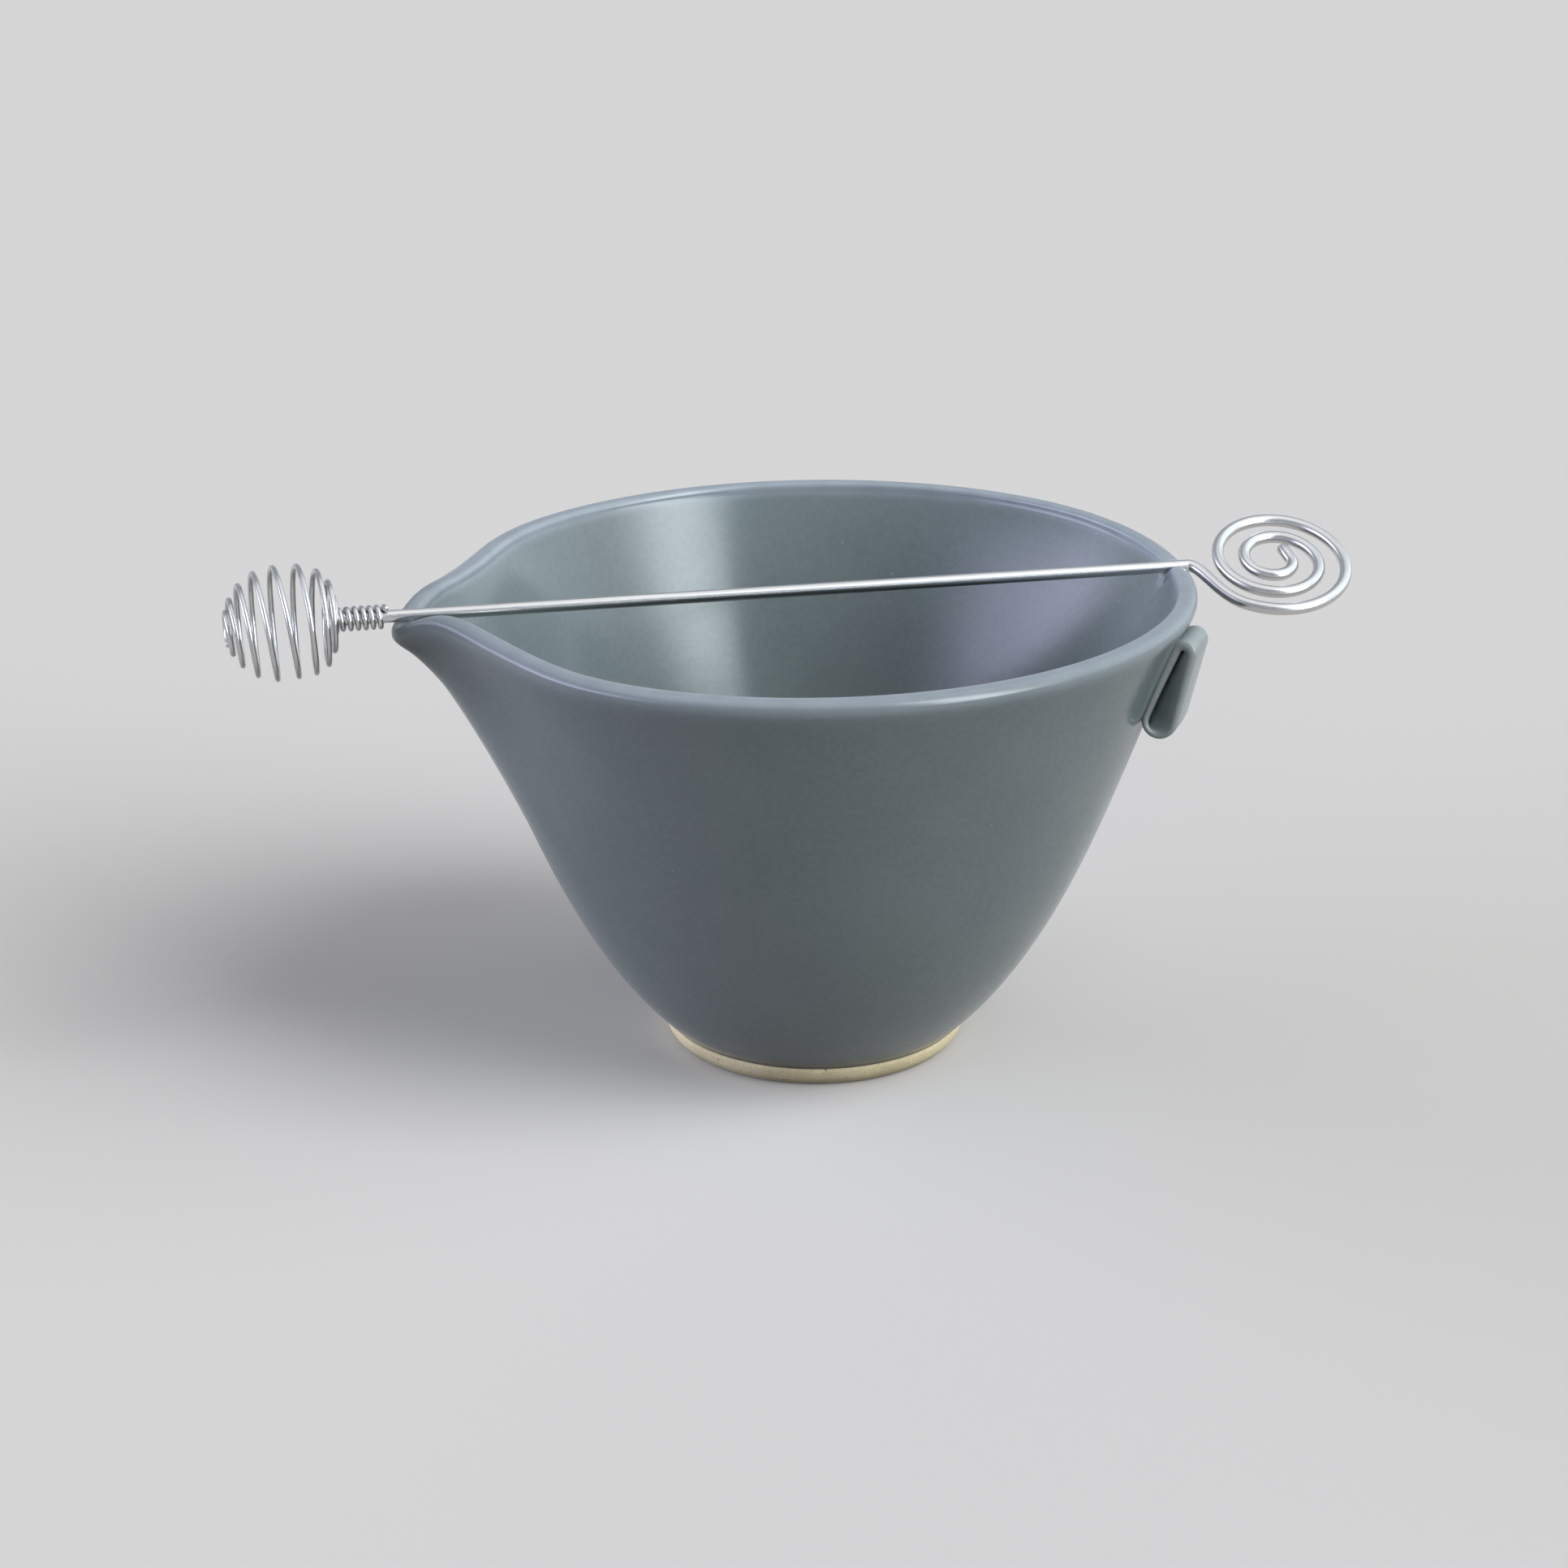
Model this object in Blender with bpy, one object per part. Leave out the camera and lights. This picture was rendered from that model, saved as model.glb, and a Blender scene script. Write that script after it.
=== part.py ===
# Stoneware batter bowl with a pulled spout, a rim notch, a strap lug and a loose wire whisk.
# Metres, +Z up. The foot stands on z = 0, the spout points to -X and the notch is at +X.
# The lug is on the outside of the wall, a little way round from the notch.
# The whisk lies across the bowl, with its rod in the spout and in the notch.

import math

import bmesh
import bpy
from mathutils import Vector

# Fits
JOINT_GAP = 0.0003              # between two pieces that touch
TURN_GAP_LEAST = 0.0004         # least air that a wound wire keeps to itself

# Thrown bowl
RIM_LENGTH = 0.1504             # outside, along the spout axis, spout left out
RIM_WIDTH = 0.1350              # outside, across the spout axis
RIM_HEIGHT = 0.0940
RIM_THICKNESS = 0.0043
RIM_ROUNDING = 0.0017
WALL_THICKNESS = 0.0058         # at the foot, thinning towards the rim
FLOOR_THICKNESS = 0.0050        # above the glaze line
FLOOR_SWEEP = 0.0110            # height over which the inside wall turns into the floor
FOOT_FLARE = math.radians(46)   # wall leaning out from upright, at the glaze line
FOOT_HANDLE = 0.0350            # length over which the foot flare holds
RIM_FLARE = math.radians(28)    # wall leaning out from upright, at the rim
RIM_HANDLE = 0.0260             # length over which the rim flare holds
OVAL_POWER = 1.25               # how late the round foot turns into the oval rim

# Bare foot
GLAZE_LINE_RADIUS = 0.0298
GLAZE_LINE_HEIGHT = 0.0035
BASE_RADIUS = 0.0281

# Pulled spout
SPOUT_REACH = 0.0078            # lip beyond the oval rim
SPOUT_SPREAD = math.radians(6.5)
SPOUT_WIDEN = math.radians(12)  # added spread where the pull starts, down the wall
SPOUT_DEPTH = 0.0450            # how far down the wall the pull reaches
SPOUT_POWER = 1.5               # how quickly the pull fades down the wall
LIP_DROP = 0.0029               # middle of the lip below the rim
LIP_SPREAD = math.radians(4.5)
LIP_ROLL = 0.0009               # fullness under the edge of the lip
LIP_ROLL_DROP = 0.0022
WING_RISE = 0.0020              # sides of the spout above the rim
WING_SPREAD = math.radians(15)
THROAT_PINCH = 0.0026           # rim drawn in on both sides of the spout
THROAT_ANGLE = math.radians(22)
THROAT_SPREAD = math.radians(14)

# Rim notch
NOTCH_SLACK = 0.0009            # air on each side of the rod
NOTCH_EDGE = 0.0012             # softness of the notch's sides
NOTCH_DIP = 0.0007              # shallow dip of the rim around the notch
NOTCH_DIP_SPREAD = math.radians(22)
RIM_BLEND = 0.0160              # height over which the rim's rises and dips fade out

# Strap lug
LUG_ANGLE = math.radians(-25)   # round the wall from the notch
LUG_DROP = 0.0036               # rim down to the top of the lug
LUG_HEIGHT = 0.0190
LUG_WIDTH = 0.0105
STRAP_THICKNESS = 0.0019
FOLD_OPENING = 0.0009           # air inside the fold at the top
BOTTOM_OPENING = 0.0036         # air inside the bend at the bottom, near edge
FAR_OPENING = 0.0013            # the same at the far edge

# Whisk handle wire
ROD_DIAMETER = 0.0024
BEND_STANDOFF = 0.0003          # rim to the start of the bend
BEND_HANDLE_IN = 0.0026         # length over which the bend keeps the rod's direction
BEND_HANDLE_OUT = 0.0060        # length over which it takes up the spiral's
SPIRAL_RIM_GAP = 0.0049         # rim to the nearest turn of the spiral
SPIRAL_RADIUS = 0.0157          # wire's middle, where the spiral starts
SPIRAL_END_RADIUS = 0.0032      # wire's middle, where the spiral ends
SPIRAL_PITCH = 0.0053           # inward step for each turn
SPIRAL_START = math.radians(-125)
SPIRAL_TILT = math.radians(19.2)
SPIRAL_TAIL = 0.0038            # straight end of the wire, inside the spiral

# Whisk beater wire
COIL_WIRE = 0.0010
COLLAR_STANDOFF = 0.0003        # spout lip to the first turn of the collar
COLLAR_TURNS = 6.4
COLLAR_AIR = 0.00043            # between the collar's turns
BALL_RADIUS = 0.0107            # wire's middle, at the widest turn
BALL_FRONT = 0.0099             # widest turn to the free end, along the rod
BALL_NECK = 0.0111              # widest turn to the collar, along the rod
NECK_FULLNESS = 3.5             # 2 for a round neck, more for a blunter one
BALL_TURNS = 9.05
BALL_START = math.radians(-159)  # free end, round the rod from its top
BALL_END_RADIUS = 0.0028        # wire's middle, at the free end
BALL_CROWDING = 1.05            # how much closer the turns lie towards both ends
BALL_DROOP = math.radians(5.2)  # free end hanging down

# Mesh density
AROUND = 90                     # meridians round the bowl
NOTCH_CROWDING = 9              # extra meridians at the notch, times the even number
NOTCH_CROWD_SPREAD = 0.055
SPOUT_CROWDING = 2              # the same at the spout
SPOUT_CROWD_SPREAD = 0.30
WALL_ROWS = 12
RIM_CROWDING = 1.4              # over 1, rows lie closer towards the rim
FLOOR_ROWS = 6
ROUND_STEPS = 3
FOOT_STEPS = 64
STRAP_EDGE_STEPS = 4            # round each edge of the strap
BEND_STEPS = 12                 # in each bend of the strap and of the rod
LEG_STEPS = 6                   # along the strap's leg on the wall
LOOP_POINTS = 24                # for each turn of the ball and the spiral
CURL_POINTS = 10                # for each turn of the collar
ROD_SIDES = 10
COIL_SIDES = 6
SHARP_EDGE = math.radians(40)
TINY_STEP = 0.002               # share of a curve over which a direction is taken

# Sizes that follow from the ones above
ROD_RADIUS = ROD_DIAMETER / 2
COIL_RADIUS = COIL_WIRE / 2
RIM_HALF = RIM_LENGTH / 2
RIM_FILLET = min(RIM_ROUNDING, 0.45 * RIM_THICKNESS)
WALL_TOP = RIM_HEIGHT - RIM_FILLET
WALL_BOTTOM = GLAZE_LINE_HEIGHT + JOINT_GAP
FLOOR_HEIGHT = WALL_BOTTOM + FLOOR_THICKNESS
FOLD_RADIUS = (FOLD_OPENING + STRAP_THICKNESS) / 2
BOTTOM_RADIUS = (BOTTOM_OPENING + STRAP_THICKNESS) / 2
FAR_RADIUS = (FAR_OPENING + STRAP_THICKNESS) / 2
ROD_HEIGHT = RIM_HEIGHT - LIP_DROP + JOINT_GAP + ROD_RADIUS    # lying on the lip and in the notch
SPIRAL_TURNS = (SPIRAL_RADIUS - SPIRAL_END_RADIUS) / SPIRAL_PITCH
COLLAR_PITCH = COIL_WIRE + COLLAR_AIR
COLLAR_RADIUS = ROD_RADIUS + JOINT_GAP + COIL_RADIUS
COLLAR_END = -(RIM_HALF + SPOUT_REACH + COLLAR_STANDOFF + COIL_RADIUS)
BALL_JOIN = COLLAR_END - COLLAR_TURNS * COLLAR_PITCH - COLLAR_AIR    # where the ball meets the collar


def smooth(t):
    t = min(max(t, 0.0), 1.0)
    return t * t * (3 - 2 * t)


def bell(offset, spread):
    return math.exp(-(offset / spread) ** 2)


def bezier(p0, p1, p2, p3, t):
    s = 1 - t
    return p0 * s ** 3 + p1 * (3 * s * s * t) + p2 * (3 * s * t * t) + p3 * t ** 3


def polar(angle, radius, height):
    return Vector((radius * math.cos(angle), radius * math.sin(angle), height))


# Bowl surface: every piece that touches the bowl asks these functions where the wall is.

def from_notch(angle):
    return math.remainder(angle, 2 * math.pi)


def from_spout(angle):
    return math.remainder(angle - math.pi, 2 * math.pi)


def rim_rise(angle):
    # rim height at this angle, measured from RIM_HEIGHT
    spout, notch = from_spout(angle), from_notch(angle)
    rise = WING_RISE * bell(spout, WING_SPREAD)
    rise -= (LIP_DROP + WING_RISE) * bell(spout, LIP_SPREAD)
    rise -= NOTCH_DIP * bell(notch, NOTCH_DIP_SPREAD)
    across = abs(RIM_HALF * notch)
    side = ROD_RADIUS + NOTCH_SLACK - NOTCH_EDGE / 2
    rise -= (LIP_DROP - NOTCH_DIP) * (1 - smooth((across - side) / NOTCH_EDGE))
    return rise


def wall_profile(t):
    # outer radius along the spout axis and height, from the glaze line (0) to the rim fillet (1)
    foot = Vector((GLAZE_LINE_RADIUS, WALL_BOTTOM))
    rim = Vector((RIM_HALF, WALL_TOP))
    leave = foot + Vector((math.sin(FOOT_FLARE), math.cos(FOOT_FLARE))) * FOOT_HANDLE
    arrive = rim - Vector((math.sin(RIM_FLARE), math.cos(RIM_FLARE))) * RIM_HANDLE
    return bezier(foot, leave, arrive, rim, t)


def profile_at(height):
    # the profile's t at a height, by halving
    low, high = 0.0, 1.0
    for _ in range(40):
        middle = (low + high) / 2
        if wall_profile(middle).y < height:
            low = middle
        else:
            high = middle
    return low


def wall_point(angle, t):
    # outer radius and height of the finished wall
    radius, height = wall_profile(t)
    oval = RIM_WIDTH / math.hypot(RIM_WIDTH * math.cos(angle), RIM_LENGTH * math.sin(angle))
    share = (height - WALL_BOTTOM) / (WALL_TOP - WALL_BOTTOM)
    radius *= 1 - (1 - oval) * max(share, 0.0) ** OVAL_POWER
    spout = from_spout(angle)
    below = WALL_TOP - height
    pull = max(1 - below / SPOUT_DEPTH, 0.0)
    throat = bell(abs(spout) - THROAT_ANGLE, THROAT_SPREAD)
    radius -= THROAT_PINCH * throat * smooth(pull)
    beak = bell(spout, SPOUT_SPREAD + SPOUT_WIDEN * (1 - pull))
    radius += SPOUT_REACH * beak * pull ** SPOUT_POWER
    radius += LIP_ROLL * beak * bell(below - LIP_ROLL_DROP, LIP_ROLL_DROP)
    lift = rim_rise(angle) * smooth(1 - below / RIM_BLEND)
    return radius + lift * math.tan(RIM_FLARE) * (1 - beak), height + lift


def wall_thickness(t):
    return WALL_THICKNESS + (RIM_THICKNESS - WALL_THICKNESS) * t


def meridian(angle):
    # one slice of the bowl, from the glaze line up the outside, over the rim and down to the floor
    points = []
    for i in range(WALL_ROWS + 1):
        points.append(Vector(wall_point(angle, 1 - (1 - i / WALL_ROWS) ** RIM_CROWDING)))
    outer = points[-1] - Vector((RIM_FILLET, 0))
    inner = points[-1] - Vector((RIM_THICKNESS - RIM_FILLET, 0))
    for i in range(1, 2 * ROUND_STEPS + 1):
        turn = math.pi / 2 * i / ROUND_STEPS
        centre = outer if i <= ROUND_STEPS else inner
        points.append(centre + Vector((math.cos(turn), math.sin(turn))) * RIM_FILLET)
    sweep = profile_at(FLOOR_HEIGHT + FLOOR_SWEEP)
    for i in range(1, WALL_ROWS):
        t = 1 - (1 - sweep) * (i / (WALL_ROWS - 1)) ** RIM_CROWDING
        points.append(Vector(wall_point(angle, t)) - Vector((wall_thickness(t), 0)))
    edge, above = points[-1], points[-2]
    leave = edge + (edge - above).normalized() * FLOOR_SWEEP
    arrive = Vector((edge.x / 2, FLOOR_HEIGHT))
    for i in range(1, FLOOR_ROWS):
        points.append(bezier(edge, leave, arrive, Vector((0, FLOOR_HEIGHT)), i / FLOOR_ROWS))
    return points


def bowl_angles():
    # AROUND angles that crowd together at the notch and at the spout
    fine = 80 * AROUND
    angles = [2 * math.pi * i / fine for i in range(fine)]
    weights = [1 + NOTCH_CROWDING * bell(from_notch(angle), NOTCH_CROWD_SPREAD)
               + SPOUT_CROWDING * bell(from_spout(angle), SPOUT_CROWD_SPREAD) for angle in angles]
    step = sum(weights) / AROUND
    chosen, passed = [], 0.0
    for angle, weight in zip(angles, weights):
        if len(chosen) < AROUND and passed >= len(chosen) * step:
            chosen.append(angle)
        passed += weight
    return chosen


def finish(name, bm, material):
    bmesh.ops.recalc_face_normals(bm, faces=bm.faces)
    mesh = bpy.data.meshes.new(name)
    bm.to_mesh(mesh)
    bm.free()
    mesh.shade_smooth()
    mesh.set_sharp_from_angle(angle=SHARP_EDGE)
    mesh.materials.append(material)
    bpy.context.collection.objects.link(bpy.data.objects.new(name, mesh))


def paint(name, colour, roughness, metallic=0.0):
    material = bpy.data.materials.new(name)
    material.use_nodes = True
    shader = material.node_tree.nodes["Principled BSDF"]
    shader.inputs["Base Color"].default_value = (*colour, 1.0)
    shader.inputs["Roughness"].default_value = roughness
    shader.inputs["Metallic"].default_value = metallic
    material.diffuse_color = (*colour, 1.0)
    return material


def skin(bm, rings, closed=False):
    # quads between neighbouring rings of vertices
    pairs = list(zip(rings, rings[1:]))
    if closed:
        pairs.append((rings[-1], rings[0]))
    for one, other in pairs:
        for i in range(len(one)):
            j = (i + 1) % len(one)
            bm.faces.new((one[i], one[j], other[j], other[i]))


def make_bowl():
    bm = bmesh.new()
    slices = [(angle, meridian(angle)) for angle in bowl_angles()]
    rings = []
    for row in range(len(slices[0][1])):
        rings.append([bm.verts.new(polar(angle, *points[row])) for angle, points in slices])
    skin(bm, rings)
    for ring, height in ((rings[0], WALL_BOTTOM), (rings[-1], FLOOR_HEIGHT)):
        pole = bm.verts.new((0, 0, height))
        for i in range(AROUND):
            bm.faces.new((ring[i], ring[(i + 1) % AROUND], pole))
    finish("bowl_body", bm, paint("bowl_glaze", (0.125, 0.160, 0.178), 0.32))


def make_foot():
    bm = bmesh.new()
    rings = []
    steps = 2 * ROUND_STEPS
    for i in range(steps + 1):
        turn = math.pi / 2 * i / steps
        radius = BASE_RADIUS + (GLAZE_LINE_RADIUS - BASE_RADIUS) * math.sin(turn)
        height = GLAZE_LINE_HEIGHT * (1 - math.cos(turn))
        rings.append([bm.verts.new(polar(2 * math.pi * k / FOOT_STEPS, radius, height))
                      for k in range(FOOT_STEPS)])
    skin(bm, rings)
    bm.faces.new(rings[0])
    bm.faces.new(rings[-1])
    finish("bare_foot", bm, paint("bare_clay", (0.42, 0.38, 0.28), 0.85))


def lug_path(share):
    # closed teardrop: (up the wall from the lug's bottom, out from the wall, outward angle)
    # share runs from 0 at the open near edge to 1 at the far edge
    touch = JOINT_GAP + STRAP_THICKNESS / 2
    bottom = BOTTOM_RADIUS + (FAR_RADIUS - BOTTOM_RADIUS) * share
    high = LUG_HEIGHT - STRAP_THICKNESS / 2 - FOLD_RADIUS
    low = STRAP_THICKNESS / 2 + bottom
    tangent = 2 * math.atan((bottom - FOLD_RADIUS) / (high - low))
    path = []
    for centre, radius, first, last in ((high, FOLD_RADIUS, math.pi, tangent),
                                        (low, bottom, tangent, -math.pi)):
        for i in range(BEND_STEPS + 1):
            turn = first + (last - first) * i / BEND_STEPS
            path.append((centre + radius * math.sin(turn),
                         touch + radius + radius * math.cos(turn), turn))
    for i in range(1, LEG_STEPS):
        path.append((low + (high - low) * i / LEG_STEPS, touch, math.pi))
    return path


def strap_outline():
    # cross-section of the strap: (through its thickness, across its width), with round edges
    half = STRAP_THICKNESS / 2
    end = LUG_WIDTH / 2 - half
    outline = []
    for side in (1, -1):
        for i in range(STRAP_EDGE_STEPS + 1):
            turn = math.pi * (i / STRAP_EDGE_STEPS - 0.5)
            outline.append((side * half * math.sin(turn), side * (end + half * math.cos(turn))))
        outline.append((side * half, 0.0))
    return outline


def make_lug():
    bm = bmesh.new()
    base = RIM_HEIGHT - LUG_DROP - LUG_HEIGHT
    columns = []
    for through, across in strap_outline():
        column = []
        for along, out, turn in lug_path(0.5 + across / LUG_WIDTH):
            t = profile_at(base + along + through * math.sin(turn))
            angle = LUG_ANGLE + across / wall_profile(t).x
            seat = Vector(wall_point(angle, t))
            uphill = (seat - Vector(wall_point(angle, t - TINY_STEP))).normalized()
            spot = seat + Vector((uphill.y, -uphill.x)) * (out + through * math.cos(turn))
            column.append(bm.verts.new(polar(angle, *spot)))
        columns.append(column)
    skin(bm, columns, closed=True)
    finish("lug_loop", bm, paint("lug_glaze", (0.150, 0.185, 0.198), 0.30))


def make_wire(name, points, diameter, sides, material, parent):
    curve = bpy.data.curves.new(name, "CURVE")
    curve.dimensions = "3D"
    curve.bevel_depth = diameter / 2
    curve.bevel_resolution = sides // 2 - 2
    curve.use_fill_caps = True
    line = curve.splines.new("POLY")
    line.points.add(len(points) - 1)
    for knot, point in zip(line.points, points):
        knot.co = (*point, 1.0)
    curve.materials.append(material)
    wire = bpy.data.objects.new(name, curve)
    wire.parent = parent
    bpy.context.collection.objects.link(wire)


def past_end(end, before, length):
    # a point that carries a wire straight on past its end
    return end + (end - before).normalized() * length


def handle_points():
    # from the rod's end in the collar, along the rod, round the bend and into the flat spiral
    along = Vector((1, 0, 0))
    aside = Vector((0, math.cos(SPIRAL_TILT), math.sin(SPIRAL_TILT)))
    nearest = SPIRAL_RADIUS - SPIRAL_PITCH * (math.pi - SPIRAL_START) / (2 * math.pi)
    centre = along * (RIM_HALF + SPIRAL_RIM_GAP + ROD_RADIUS + nearest)

    def spiral(share):
        turn = SPIRAL_START + 2 * math.pi * SPIRAL_TURNS * share
        radius = SPIRAL_RADIUS + (SPIRAL_END_RADIUS - SPIRAL_RADIUS) * share
        return centre + (along * math.cos(turn) + aside * math.sin(turn)) * radius

    bend = along * (RIM_HALF + BEND_STANDOFF)
    join = spiral(0)
    heading = (spiral(TINY_STEP) - join).normalized()
    points = [along * BALL_JOIN]
    for i in range(BEND_STEPS):
        points.append(bezier(bend, bend + along * BEND_HANDLE_IN,
                             join - heading * BEND_HANDLE_OUT, join, i / BEND_STEPS))
    steps = round(SPIRAL_TURNS * LOOP_POINTS)
    points += [spiral(i / steps) for i in range(steps + 1)]
    points.append(past_end(points[-1], points[-2], SPIRAL_TAIL))
    return points


def ball_shape(latitude):
    # along the rod from the widest turn, and radius; latitude 0 at the free end, pi at the collar
    lean = -math.cos(latitude)
    if lean < 0:
        return BALL_FRONT * lean, BALL_RADIUS * math.sin(latitude)
    return BALL_NECK * lean, BALL_RADIUS * (1 - lean ** NECK_FULLNESS) ** (1 / NECK_FULLNESS)


def beater_points():
    # from the free end of the ball, round its turns, into the collar on the rod and out to its tail
    first = math.asin(BALL_END_RADIUS / BALL_RADIUS)
    closed = (1 - (COLLAR_RADIUS / BALL_RADIUS) ** NECK_FULLNESS) ** (1 / NECK_FULLNESS)
    last = math.acos(-closed)
    widest = BALL_JOIN - BALL_NECK * closed
    points = []
    steps = round(BALL_TURNS * LOOP_POINTS)
    for i in range(steps):
        turn = BALL_START + 2 * math.pi * BALL_TURNS * i / steps
        share = i / steps
        share += BALL_CROWDING * share * (1 - share) * (share - 0.5)
        along, radius = ball_shape(first + (last - first) * share)
        droop = math.tan(BALL_DROOP) * smooth((BALL_NECK - along) / BALL_NECK)
        up = radius * math.cos(turn)
        points.append(Vector((widest + along - droop * up, -radius * math.sin(turn), up + droop * along)))
    steps = round(COLLAR_TURNS * CURL_POINTS)
    for i in range(steps + 1):
        turns = COLLAR_TURNS * i / steps
        turn = BALL_START + 2 * math.pi * (BALL_TURNS + turns)
        lead = COLLAR_AIR * min(turns, 1)    # first turn further on, clear of the ball's last
        along = BALL_JOIN + lead + COLLAR_PITCH * turns
        points.append(Vector((along, -COLLAR_RADIUS * math.sin(turn), COLLAR_RADIUS * math.cos(turn))))
    points.insert(0, past_end(points[0], points[1], COIL_WIRE))
    points.append(past_end(points[-1], points[-2], COIL_WIRE))
    return points


def least_gap(points, diameter):
    # air between turns, measured on points a quarter of the wire apart
    # and leaving out what is less than half a turn round a tight curl away
    dense = []
    for one, other in zip(points, points[1:]):
        pieces = max(1, math.ceil((other - one).length / (diameter / 4)))
        dense += [one.lerp(other, k / pieces) for k in range(pieces)]
    dense.append(points[-1])
    travelled = [0.0]
    for one, other in zip(dense, dense[1:]):
        travelled.append(travelled[-1] + (other - one).length)
    beyond = math.pi * diameter
    least = math.inf
    for i, one in enumerate(dense):
        for j in range(i + 1, len(dense)):
            if travelled[j] - travelled[i] > beyond:
                least = min(least, (dense[j] - one).length)
    return least - diameter


def make_whisk():
    whisk = bpy.data.objects.new("whisk", None)
    whisk.location = (0, 0, ROD_HEIGHT)
    bpy.context.collection.objects.link(whisk)
    handle, beater = handle_points(), beater_points()
    make_wire("whisk_handle_wire", handle, ROD_DIAMETER, ROD_SIDES,
              paint("handle_steel", (0.72, 0.73, 0.74), 0.16, 1.0), whisk)
    make_wire("whisk_beater_coil", beater, COIL_WIRE, COIL_SIDES,
              paint("coil_steel", (0.70, 0.71, 0.73), 0.18, 1.0), whisk)
    for name, points, diameter in (("handle", handle, ROD_DIAMETER), ("beater", beater, COIL_WIRE)):
        gap = least_gap(points, diameter)
        print(f"{name} wire: least gap to itself {gap * 1000:.2f} mm,",
              "enough" if gap > TURN_GAP_LEAST else "too small")


for old in list(bpy.data.objects):
    bpy.data.objects.remove(old, do_unlink=True)
make_bowl()
make_foot()
make_lug()
make_whisk()
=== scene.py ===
import math

import bmesh
import bpy
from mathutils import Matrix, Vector


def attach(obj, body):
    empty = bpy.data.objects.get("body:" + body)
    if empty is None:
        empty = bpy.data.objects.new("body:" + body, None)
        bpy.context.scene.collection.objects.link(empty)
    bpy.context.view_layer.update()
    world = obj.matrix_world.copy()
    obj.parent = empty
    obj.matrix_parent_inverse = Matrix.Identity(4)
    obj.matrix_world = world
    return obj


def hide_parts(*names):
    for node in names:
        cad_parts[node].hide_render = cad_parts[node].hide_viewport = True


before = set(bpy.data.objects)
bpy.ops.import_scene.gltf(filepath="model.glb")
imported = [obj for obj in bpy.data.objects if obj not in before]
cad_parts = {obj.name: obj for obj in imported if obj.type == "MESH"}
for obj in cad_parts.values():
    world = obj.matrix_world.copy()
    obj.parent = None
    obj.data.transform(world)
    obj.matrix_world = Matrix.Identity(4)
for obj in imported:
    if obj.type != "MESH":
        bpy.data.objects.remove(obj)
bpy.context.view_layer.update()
print("frame loaded")


# small helpers for curves

def smooth(t):
    t = min(max(t, 0.0), 1.0)
    return t * t * (3 - 2 * t)


def bell(offset, spread):
    return math.exp(-(offset / spread) ** 2)


def bezier(p0, p1, p2, p3, t):
    s = 1 - t
    return p0 * s ** 3 + p1 * (3 * s * s * t) + p2 * (3 * s * t * t) + p3 * t ** 3


def polar(angle, radius, height):
    return Vector((radius * math.cos(angle), radius * math.sin(angle), height))


# small helpers for shader nodes

noiseMiddle = (0.35, 0.65)      # where most of a noise texture's values lie
noiseWide = (0.30, 0.70)


def add(tree, kind, **settings):
    node = tree.nodes.new(kind)
    for key, value in settings.items():
        setattr(node, key, value)
    return node


def join(tree, source, node, socket):
    if hasattr(source, "is_output"):
        tree.links.new(source, node.inputs[socket])
    else:
        node.inputs[socket].default_value = source


def noise(tree, place, scale, detail=3.0, roughness=0.5):
    node = add(tree, "ShaderNodeTexNoise")
    join(tree, place, node, "Vector")
    join(tree, scale, node, "Scale")
    join(tree, detail, node, "Detail")
    join(tree, roughness, node, "Roughness")
    return node.outputs["Fac"]


def fit(tree, value, low, high, start=0.0, end=1.0):
    node = add(tree, "ShaderNodeMapRange", interpolation_type="SMOOTHSTEP")
    for socket, source in (("Value", value), ("From Min", low), ("From Max", high),
                           ("To Min", start), ("To Max", end)):
        join(tree, source, node, socket)
    return node.outputs["Result"]


def maths(tree, operation, one, other=0.0):
    node = add(tree, "ShaderNodeMath", operation=operation)
    join(tree, one, node, 0)
    join(tree, other, node, 1)
    return node.outputs[0]


def blend(tree, share, one, other, mode="MIX"):
    node = add(tree, "ShaderNodeMix", data_type="RGBA", blend_type=mode)
    join(tree, share, node, "Factor")
    for socket, source in ((6, one), (7, other)):
        join(tree, (*source, 1.0) if isinstance(source, tuple) else source, node, socket)
    return node.outputs[2]


def spots(tree, place, scale, size, keep, core=0.45):
    cells = add(tree, "ShaderNodeTexVoronoi")
    join(tree, place, cells, "Vector")
    join(tree, scale, cells, "Scale")
    chosen = add(tree, "ShaderNodeSeparateColor")
    join(tree, cells.outputs["Color"], chosen, "Color")
    dot = fit(tree, cells.outputs["Distance"], size, size * core)
    return maths(tree, "MULTIPLY", dot, maths(tree, "LESS_THAN", chosen.outputs["Red"], keep))


def attribute(tree, name, output="Fac"):
    return add(tree, "ShaderNodeAttribute", attribute_name=name).outputs[output]


def bump(tree, height, distance, strength, below=None):
    node = add(tree, "ShaderNodeBump")
    join(tree, height, node, "Height")
    join(tree, distance, node, "Distance")
    join(tree, strength, node, "Strength")
    if below is not None:
        join(tree, below, node, "Normal")
    return node.outputs["Normal"]


def newMaterial(name):
    material = bpy.data.materials.new(name)
    material.use_nodes = True
    tree = material.node_tree
    return material, tree, tree.nodes["Principled BSDF"]


# small helpers for meshes

def gridFaces(rows, columns, closedRows=False):
    faces = []
    for i in range(rows if closedRows else rows - 1):
        for k in range(columns):
            n, j = (k + 1) % columns, (i + 1) % rows
            faces.append((i * columns + k, i * columns + n, j * columns + n, j * columns + k))
    return faces


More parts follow.
